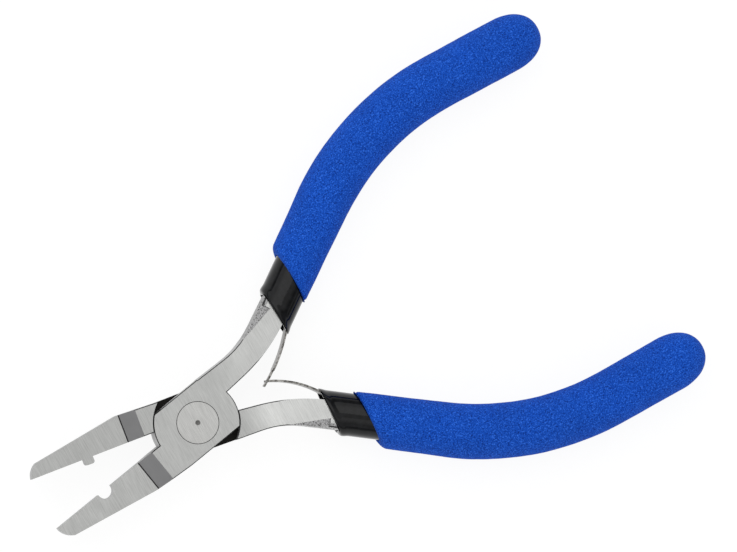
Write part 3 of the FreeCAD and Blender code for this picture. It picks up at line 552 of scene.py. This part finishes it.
def leaf_stations(side):
    """Places along the strip, with one at every edge of the tongue and the fork."""
    first = -15.9 * MM
    last = LEAF_REACH + LEAF_PAST[side]
    edges = {first, last, LEAF_REACH - TONGUE_START, LEAF_REACH - FORK_DEPTH}
    steps = 110
    spread = {first + (last - first) * step / steps for step in range(steps + 1)}
    near = 0.1 * MM
    return sorted(edges | {s for s in spread if all(abs(s - e) > near for e in edges)})


def leaf_mesh(side, bow):
    """Vertices and faces of the whole strip, as thick as it is."""
    stations = leaf_stations(side)
    columns = [-LEAF_HALF, -1.8 * MM, -FORK_HALF, -TONGUE_HALF, 0.0,
               TONGUE_HALF, FORK_HALF, 1.8 * MM, LEAF_HALF]
    vertices = []
    for place in stations:
        centre = leaf_line(side, place, bow)
        ahead = leaf_line(side, place + 0.02 * MM, bow) - leaf_line(side, place - 0.02 * MM, bow)
        flat = Vector((0, 0, 1)).cross(ahead.normalized()) * LEAF_THICKNESS / 2
        for z in columns:
            for face in (1, -1):
                vertices.append(centre + flat * face + Vector((0, 0, z)))
    wide = len(columns)

    def corner(row, col, face):
        return (row * wide + col) * 2 + face

    cells = {(row, col) for row in range(len(stations) - 1) for col in range(wide - 1)
             if leaf_is_there(side, (stations[row] + stations[row + 1]) / 2,
                              (columns[col] + columns[col + 1]) / 2)}
    faces = []
    for row, col in sorted(cells):
        round_cell = ((row, col), (row, col + 1), (row + 1, col + 1), (row + 1, col))
        faces.append(tuple(corner(*place, 0) for place in round_cell))
        faces.append(tuple(corner(*place, 1) for place in reversed(round_cell)))
        beyond = ((row, col - 1), (row + 1, col), (row, col + 1), (row - 1, col))
        sides = ((0, 3), (3, 2), (2, 1), (1, 0))
        for near, (first, last) in zip(beyond, sides):
            if near not in cells:
                a, b = round_cell[first], round_cell[last]
                faces.append((corner(*a, 0), corner(*b, 0), corner(*b, 1), corner(*a, 1)))
    return vertices, faces


class PLIERS_OT_leaf_springs(bpy.types.Operator):
    """Makes the two leaf springs, each one strip, bowed beyond the sleeve's mouth."""
    bl_idname = "pliers.leaf_springs"
    bl_label = "Leaf springs"

    def execute(self, context):
        look = context.scene.pliers_leaves
        material = spring_material(look)
        bows = {"front": look.front_bow, "rear": look.rear_bow}
        for side in SIGNS:
            vertices, faces = leaf_mesh(side, bows[side])
            leaf = mesh_object(f"{side}_leaf_strip", vertices, faces, material)
            drop_loose(leaf)
            start = leaf_line(side, 0.0, 0.0)
            end = leaf_line(side, 5 * MM, 0.0)
            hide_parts(f"{side}_leaf_root", f"{side}_leaf_blade")
            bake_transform(leaf)
        return {"FINISHED"}


def drop_loose(piece):
    """Removes vertices that no face uses, and keeps the strip's edges sharp."""
    shape = bmesh.new()
    shape.from_mesh(piece.data)
    bmesh.ops.delete(shape, geom=[v for v in shape.verts if not v.link_faces], context="VERTS")
    for edge in shape.edges:
        edge.smooth = edge.calc_face_angle(0.0) < math.radians(40)
    shape.to_mesh(piece.data)
    shape.free()


# ---- steel ----------------------------------------------------------------------------

def steel_material(look, name, turn, jaw_light_and_shade, shank_light_and_shade):
    """Tool steel, surface ground across the tool, with ramps from a coarser wheel.

    It gives the eye a soft silver with fine short lines all one way, darker sloping faces
    and side walls, and on the outer edge near the sleeve the rough dark skin of the forging.
    """
    material, tree, output = new_material(name)
    place = add_node(tree, "ShaderNodeTexCoord")
    grain = add_node(tree, "ShaderNodeMapping",
                     {"Vector": place.outputs["Object"], "Rotation": (0, 0, turn),
                      "Scale": (1 / look.grain, 1 / look.stroke, 1 / (4 * look.grain))})
    lines = add_node(tree, "ShaderNodeTexNoise",
                     {"Vector": grain.outputs["Vector"], "Scale": 1.0, "Detail": 3.0,
                      "Roughness": 0.6})
    cloud = add_node(tree, "ShaderNodeTexNoise",
                     {"Vector": place.outputs["Object"], "Scale": 1 / (4 * MM), "Detail": 3.0})
    normal = add_node(tree, "ShaderNodeSeparateXYZ", {"Vector": place.outputs["Normal"]})
    upright = add_node(tree, "ShaderNodeMath", {0: normal.outputs["Z"]}, operation="ABSOLUTE")
    sloping = add_node(tree, "ShaderNodeMapRange",
                       {"Value": upright.outputs[0], "From Min": 0.97, "From Max": 0.92,
                        "To Min": 0.0, "To Max": 1.0})
    spot = add_node(tree, "ShaderNodeSeparateXYZ", {"Vector": place.outputs["Object"]})
    # Painted light and shade: the jaw end and the shank end get their own brightness, and each half
    # its own pair, so the two halves are lit and shaded copies of one steel.
    behind = add_node(tree, "ShaderNodeMapRange",
                      {"Value": spot.outputs["X"], "From Min": 8 * MM, "From Max": 14 * MM,
                       "To Min": jaw_light_and_shade, "To Max": shank_light_and_shade})
    ramp = add_node(tree, "ShaderNodeValToRGB", {"Fac": lines.outputs["Fac"]})
    colour_stops(ramp, [(0.30, "#bcbcba"), (0.5, look.colour), (0.72, "#dededc")])
    worn = add_node(tree, "ShaderNodeMix",
                    {"Factor": sloping.outputs["Result"], 6: ramp.outputs["Color"],
                     7: linear(look.ramp)}, data_type="RGBA")
    shade = add_node(tree, "ShaderNodeMapRange",
                     {"Value": cloud.outputs["Fac"], "From Min": 0.3, "From Max": 0.7,
                      "To Min": 0.96, "To Max": 1.04})
    level = add_node(tree, "ShaderNodeMath",
                     {0: shade.outputs["Result"], 1: behind.outputs["Result"]},
                     operation="MULTIPLY")
    toned = add_node(tree, "ShaderNodeHueSaturation",
                     {"Color": worn.outputs[2], "Value": level.outputs[0]})
    # The forging's skin shows in short dark strokes on sloping faces behind the joint.
    strokes = add_node(tree, "ShaderNodeMapping",
                       {"Vector": place.outputs["Object"], "Rotation": (0, 0, turn),
                        "Scale": (1 / (0.2 * MM), 1 / (0.4 * MM), 1 / (0.3 * MM))})
    blotch = add_node(tree, "ShaderNodeTexNoise",
                      {"Vector": strokes.outputs["Vector"], "Scale": 1.0,
                       "Detail": 5.0, "Roughness": 0.7})
    rear_part = add_node(tree, "ShaderNodeMapRange",
                         {"Value": spot.outputs["X"], "From Min": 14 * MM, "From Max": 17 * MM})
    fleck = add_node(tree, "ShaderNodeMapRange",
                     {"Value": blotch.outputs["Fac"], "From Min": 0.47, "From Max": 0.62})
    skin_part = add_node(tree, "ShaderNodeMath",
                         {0: sloping.outputs["Result"], 1: rear_part.outputs["Result"]},
                         operation="MULTIPLY")
    skin_mask = add_node(tree, "ShaderNodeMath",
                         {0: skin_part.outputs[0], 1: fleck.outputs["Result"]},
                         operation="MULTIPLY")
    scaled = add_node(tree, "ShaderNodeMix",
                      {"Factor": skin_mask.outputs[0], 6: toned.outputs["Color"],
                       7: linear(look.scale)}, data_type="RGBA")
    # Painted shade: the small chamfers round the ground faces are painted dark, for the shade on
    # the steep faces along the edges.
    below = add_node(tree, "ShaderNodeMapRange",
                     {"Value": upright.outputs[0], "From Min": 0.80, "From Max": 0.77})
    above = add_node(tree, "ShaderNodeMapRange",
                     {"Value": upright.outputs[0], "From Min": 0.55, "From Max": 0.62})
    edge_shade_mask = add_node(tree, "ShaderNodeMath",
                         {0: below.outputs["Result"], 1: above.outputs["Result"]},
                         operation="MULTIPLY")
    edged = add_node(tree, "ShaderNodeMix",
                     {"Factor": edge_shade_mask.outputs[0], 6: scaled.outputs[2],
                      7: linear("#3f3f3f")}, data_type="RGBA")
    # Painted shade: the floor of the lap, a recess by the joint, is painted near black for the
    # shade that falls in it.
    level_z = add_node(tree, "ShaderNodeMath",
                       {0: spot.outputs["Z"], 1: MIDDLE_Z}, operation="SUBTRACT")
    from_lap = add_node(tree, "ShaderNodeMath", {0: level_z.outputs[0]}, operation="ABSOLUTE")
    lap_near = add_node(tree, "ShaderNodeMapRange",
                        {"Value": from_lap.outputs[0], "From Min": 0.12 * MM,
                         "From Max": 0.06 * MM})
    lap_shade_mask = add_node(tree, "ShaderNodeMath",
                        {0: lap_near.outputs["Result"], 1: upright.outputs[0]},
                        operation="MULTIPLY")
    lap_shaded = add_node(tree, "ShaderNodeMix",
                     {"Factor": lap_shade_mask.outputs[0], 6: edged.outputs[2],
                      7: linear("#1b1a19")}, data_type="RGBA")
    rough = add_node(tree, "ShaderNodeMapRange",
                     {"Value": lines.outputs["Fac"], "From Min": 0.3, "From Max": 0.7,
                      "To Min": 0.30, "To Max": 0.42})
    coarse = add_node(tree, "ShaderNodeMath",
                      {0: sloping.outputs["Result"], 1: 0.12, 2: rough.outputs["Result"]},
                      operation="MULTIPLY_ADD")
    height = add_node(tree, "ShaderNodeMath",
                      {0: skin_mask.outputs[0], 1: 3.0, 2: lines.outputs["Fac"]},
                      operation="MULTIPLY_ADD")
    bump = add_node(tree, "ShaderNodeBump",
                    {"Height": height.outputs[0], "Strength": 0.25, "Distance": 0.02 * MM})
    shader = add_node(tree, "ShaderNodeBsdfPrincipled",
                      {"Base Color": lap_shaded.outputs[2], "Roughness": coarse.outputs[0],
                       "Normal": bump.outputs["Normal"], "Metallic": 1.0})
    tree.links.new(shader.outputs[0], output.inputs["Surface"])
    return material


def rivet_material(look):
    """Mild steel, riveted over and ground flush with the joint.

    It gives the eye the joint's own silver with faint turned rings and a thin dark seam.
    """
    material, tree, output = new_material("MildSteelGroundFlush")
    place = add_node(tree, "ShaderNodeTexCoord")
    grain = add_node(tree, "ShaderNodeMapping",
                     {"Vector": place.outputs["Object"], "Rotation": (0, 0, -HALF_OPENING),
                      "Scale": (1 / look.grain, 1 / look.stroke, 1 / look.grain)})
    lines = add_node(tree, "ShaderNodeTexNoise",
                     {"Vector": grain.outputs["Vector"], "Scale": 1.0, "Detail": 3.0})
    flat = add_node(tree, "ShaderNodeVectorMath",
                    {0: place.outputs["Object"], 1: (1.0, 1.0, 0.0)}, operation="MULTIPLY")
    radius = add_node(tree, "ShaderNodeVectorMath", {0: flat.outputs[0]}, operation="LENGTH")
    rings = add_node(tree, "ShaderNodeMath",
                     {0: radius.outputs["Value"], 1: 2 * math.pi / (0.32 * MM)},
                     operation="MULTIPLY")
    wave = add_node(tree, "ShaderNodeMath", {0: rings.outputs[0]}, operation="SINE")
    tone = add_node(tree, "ShaderNodeMath",
                    {0: wave.outputs[0], 1: 0.045, 2: lines.outputs["Fac"]},
                    operation="MULTIPLY_ADD")
    ramp = add_node(tree, "ShaderNodeValToRGB", {"Fac": tone.outputs[0]})
    colour_stops(ramp, [(0.30, "#a6a6a4"), (0.5, "#b5b5b3"), (0.72, "#c5c5c3")])
    seam = add_node(tree, "ShaderNodeMapRange",
                    {"Value": radius.outputs["Value"], "From Min": 4.22 * MM,
                     "From Max": 4.34 * MM})
    edged = add_node(tree, "ShaderNodeMix",
                     {"Factor": seam.outputs["Result"], 6: ramp.outputs["Color"],
                      7: linear("#2b2a29")}, data_type="RGBA")
    # The turning centre's small dish is left as drilled, so it is rougher, and it is painted
    # darker: painted shade in the small hollow.
    dish = add_node(tree, "ShaderNodeMapRange",
                    {"Value": radius.outputs["Value"], "From Min": 0.6 * MM,
                     "From Max": 0.45 * MM})
    dish_darkened = add_node(tree, "ShaderNodeMix",
                      {"Factor": dish.outputs["Result"], 6: edged.outputs[2],
                       7: linear("#8d8c8a")}, data_type="RGBA")
    turned = add_node(tree, "ShaderNodeMapRange",
                      {"Value": tone.outputs[0], "From Min": 0.3, "From Max": 0.7,
                       "To Min": 0.28, "To Max": 0.4})
    rough = add_node(tree, "ShaderNodeMath",
                     {0: dish.outputs["Result"], 1: 0.35, 2: turned.outputs["Result"]},
                     operation="MULTIPLY_ADD")
    bump = add_node(tree, "ShaderNodeBump",
                    {"Height": tone.outputs[0], "Strength": 0.25, "Distance": 0.02 * MM})
    shader = add_node(tree, "ShaderNodeBsdfPrincipled",
                      {"Base Color": dish_darkened.outputs[2], "Roughness": rough.outputs[0],
                       "Normal": bump.outputs["Normal"], "Metallic": 1.0})
    tree.links.new(shader.outputs[0], output.inputs["Surface"])
    return material


class PLIERS_OT_steel_finish(bpy.types.Operator):
    """Finishes the two steel halves, the pivot rivet and the leaf rivets."""
    bl_idname = "pliers.steel_finish"
    bl_label = "Steel finish"

    def execute(self, context):
        look = context.scene.pliers_steel
        # The halves differ in their grain's way and in their painted light and shade.
        front = steel_material(look, "ToolSteelSurfaceGroundFront", -HALF_OPENING, 0.70, 0.79)
        rear = steel_material(look, "ToolSteelSurfaceGroundRear", HALF_OPENING, 0.65, 0.99)
        rivet = rivet_material(look)
        paint_node("front_half", front)
        paint_node("rear_half", rear)
        for name in ("pivot_rivet", "front_spring_pin", "rear_spring_pin"):
            paint_node(name, rivet)
        return {"FINISHED"}


# ---- stage ----------------------------------------------------------------------------

def seen_share(tree):
    """1 for rays that reach the background directly or by a mirror or through glass."""
    path = add_node(tree, "ShaderNodeLightPath")
    first = add_node(tree, "ShaderNodeMath",
                     {0: path.outputs["Is Camera Ray"], 1: path.outputs["Is Glossy Ray"]},
                     operation="MAXIMUM")
    return add_node(tree, "ShaderNodeMath",
                    {0: first.outputs[0], 1: path.outputs["Is Transmission Ray"]},
                    operation="MAXIMUM").outputs[0]


def set_world(look):
    """White where it is seen or mirrored, with a darker band that gives metal its shape."""
    world = bpy.data.worlds.new("Studio")
    bpy.context.scene.world = world
    world.use_nodes = True
    tree = world.node_tree
    tree.nodes.clear()
    path = add_node(tree, "ShaderNodeLightPath")
    place = add_node(tree, "ShaderNodeTexCoord")
    way = add_node(tree, "ShaderNodeSeparateXYZ", {"Vector": place.outputs["Generated"]})
    band = add_node(tree, "ShaderNodeValToRGB", {"Fac": way.outputs["Z"]})
    colour_stops(band, [(0.06, "#ffffff"), (0.30, "#868688"), (0.72, "#8e8e90"), (0.90, "#e8e8e8")])
    mirrored = add_node(tree, "ShaderNodeBackground", {"Color": band.outputs["Color"]})
    white = add_node(tree, "ShaderNodeBackground", {"Color": linear("#ffffff")})
    plain = add_node(tree, "ShaderNodeBackground",
                     {"Color": linear("#ffffff"), "Strength": look.sky})
    glossy = add_node(tree, "ShaderNodeMixShader",
                      {0: path.outputs["Is Glossy Ray"], 1: plain.outputs[0],
                       2: mirrored.outputs[0]})
    clear = add_node(tree, "ShaderNodeMath",
                     {0: path.outputs["Is Camera Ray"], 1: path.outputs["Is Transmission Ray"]},
                     operation="MAXIMUM")
    both = add_node(tree, "ShaderNodeMixShader",
                    {0: clear.outputs[0], 1: glossy.outputs[0], 2: white.outputs[0]})
    output = add_node(tree, "ShaderNodeOutputWorld")
    tree.links.new(both.outputs[0], output.inputs["Surface"])


def floor_material():
    """Matt white paper, which gives the eye a clean ground and a faint soft shadow."""
    material, tree, output = new_material("PaperMattWhite")
    place = add_node(tree, "ShaderNodeTexCoord")
    fibre = add_node(tree, "ShaderNodeTexNoise",
                     {"Vector": place.outputs["Object"], "Scale": 1 / (1.5 * MM), "Detail": 3.0})
    tone = add_node(tree, "ShaderNodeValToRGB", {"Fac": fibre.outputs["Fac"]})
    colour_stops(tone, [(0.3, "#f4f4f4"), (0.7, "#fafafa")])
    paper = add_node(tree, "ShaderNodeBsdfDiffuse", {"Color": tone.outputs["Color"]})
    glow = add_node(tree, "ShaderNodeEmission", {"Color": linear("#ffffff"), "Strength": 1.06})
    share = add_node(tree, "ShaderNodeMath", {0: seen_share(tree), 1: 0.85},
                     operation="MULTIPLY")
    mixed = add_node(tree, "ShaderNodeMixShader",
                     {0: share.outputs[0], 1: paper.outputs[0], 2: glow.outputs[0]})
    tree.links.new(mixed.outputs[0], output.inputs["Surface"])
    return material


# Soft foam wavers this much past its moulded size, so the floor lies below it.
FLOOR_GAP = 0.15 * MM
PICTURE_RIGHT = Vector((0.8755, -0.4833, 0.0))
PICTURE_UP = Vector((0.4833, 0.8755, 0.0))
AIM = Vector((45.27, 9.42, 8.8)) * MM
CAMERA_LEAN = (-0.12, -0.04, 0.98)


def in_picture(right, up, out):
    """A direction from its parts to the right, up and towards the viewer."""
    return PICTURE_RIGHT * right + PICTURE_UP * up + Vector((0, 0, out))


def aimed(thing, place, target):
    """Puts a lamp or a camera in its place, facing its target, with the picture upright."""
    back = (place - target).normalized()
    right = PICTURE_UP.cross(back).normalized()
    up = back.cross(right)
    turn = Matrix((right, up, back)).transposed().to_4x4()
    thing.matrix_world = Matrix.Translation(place) @ turn


def soft_lamp(name, power, size, place):
    """A large soft lamp that faces the tool."""
    data = bpy.data.lights.new(name, "AREA")
    data.shape = "RECTANGLE"
    data.size, data.size_y = size
    data.energy = power
    lamp = bpy.data.objects.new(name, data)
    bpy.context.scene.collection.objects.link(lamp)
    aimed(lamp, place, AIM)


class PLIERS_OT_stage(bpy.types.Operator):
    """Sets the floor, the light and the camera."""
    bl_idname = "pliers.stage"
    bl_label = "Stage"

    def execute(self, context):
        look = context.scene.pliers_stage
        scene = context.scene
        scene.view_settings.view_transform = "Standard"
        set_world(look)
        low = CAD_BOX[0].z - FLOOR_GAP
        reach = 1.5
        corners = [(-reach, -reach, low), (reach, -reach, low), (reach, reach, low),
                   (-reach, reach, low)]
        floor = mesh_object("floor", [Vector(c) for c in corners], [(0, 1, 2, 3)],
                            floor_material())
        soft_lamp("key_lamp", look.key, (0.90, 0.70), AIM + in_picture(-0.18, 0.30, 0.50))
        soft_lamp("fill_lamp", look.fill, (0.80, 0.60), AIM + in_picture(0.25, -0.45, 0.40))
        data = bpy.data.cameras.new("camera")
        data.sensor_width = 36.0
        data.lens = look.lens
        data.clip_start = 0.05
        camera = bpy.data.objects.new("camera", data)
        scene.collection.objects.link(camera)
        aimed(camera, AIM + in_picture(*CAMERA_LEAN).normalized() * look.distance, AIM)
        scene.camera = camera
        return {"FINISHED"}


# ---- panel and registration -----------------------------------------------------------

GROUPS = {
    "pliers_foam": FoamSettings,
    "pliers_sleeves": SleeveSettings,
    "pliers_leaves": LeafSettings,
    "pliers_steel": SteelSettings,
    "pliers_stage": StageSettings,
}
OPERATORS = (
    PLIERS_OT_foam_grips,
    PLIERS_OT_dipped_sleeves,
    PLIERS_OT_leaf_springs,
    PLIERS_OT_steel_finish,
    PLIERS_OT_stage,
)


class PLIERS_PT_panel(bpy.types.Panel):
    """Lists the pieces and their settings."""
    bl_idname = "PLIERS_PT_panel"
    bl_label = "Pliers"
    bl_space_type = "VIEW_3D"
    bl_region_type = "UI"
    bl_category = "Pliers"

    def draw(self, context):
        for (name, group), operator in zip(GROUPS.items(), OPERATORS):
            box = self.layout.box()
            box.operator(operator.bl_idname)
            for key in group.__annotations__:
                box.prop(getattr(context.scene, name), key)


def register():
    for kind in (*GROUPS.values(), *OPERATORS, PLIERS_PT_panel):
        bpy.utils.register_class(kind)
    for name, group in GROUPS.items():
        setattr(bpy.types.Scene, name, bpy.props.PointerProperty(type=group))


def unregister():
    for name in GROUPS:
        delattr(bpy.types.Scene, name)
    for kind in reversed((*GROUPS.values(), *OPERATORS, PLIERS_PT_panel)):
        bpy.utils.unregister_class(kind)


def main():
    """Makes every piece."""
    register()
    bpy.ops.pliers.foam_grips()
    bpy.ops.pliers.dipped_sleeves()
    bpy.ops.pliers.leaf_springs()
    bpy.ops.pliers.steel_finish()
    bpy.ops.pliers.stage()


if __name__ == "__main__":
    main()
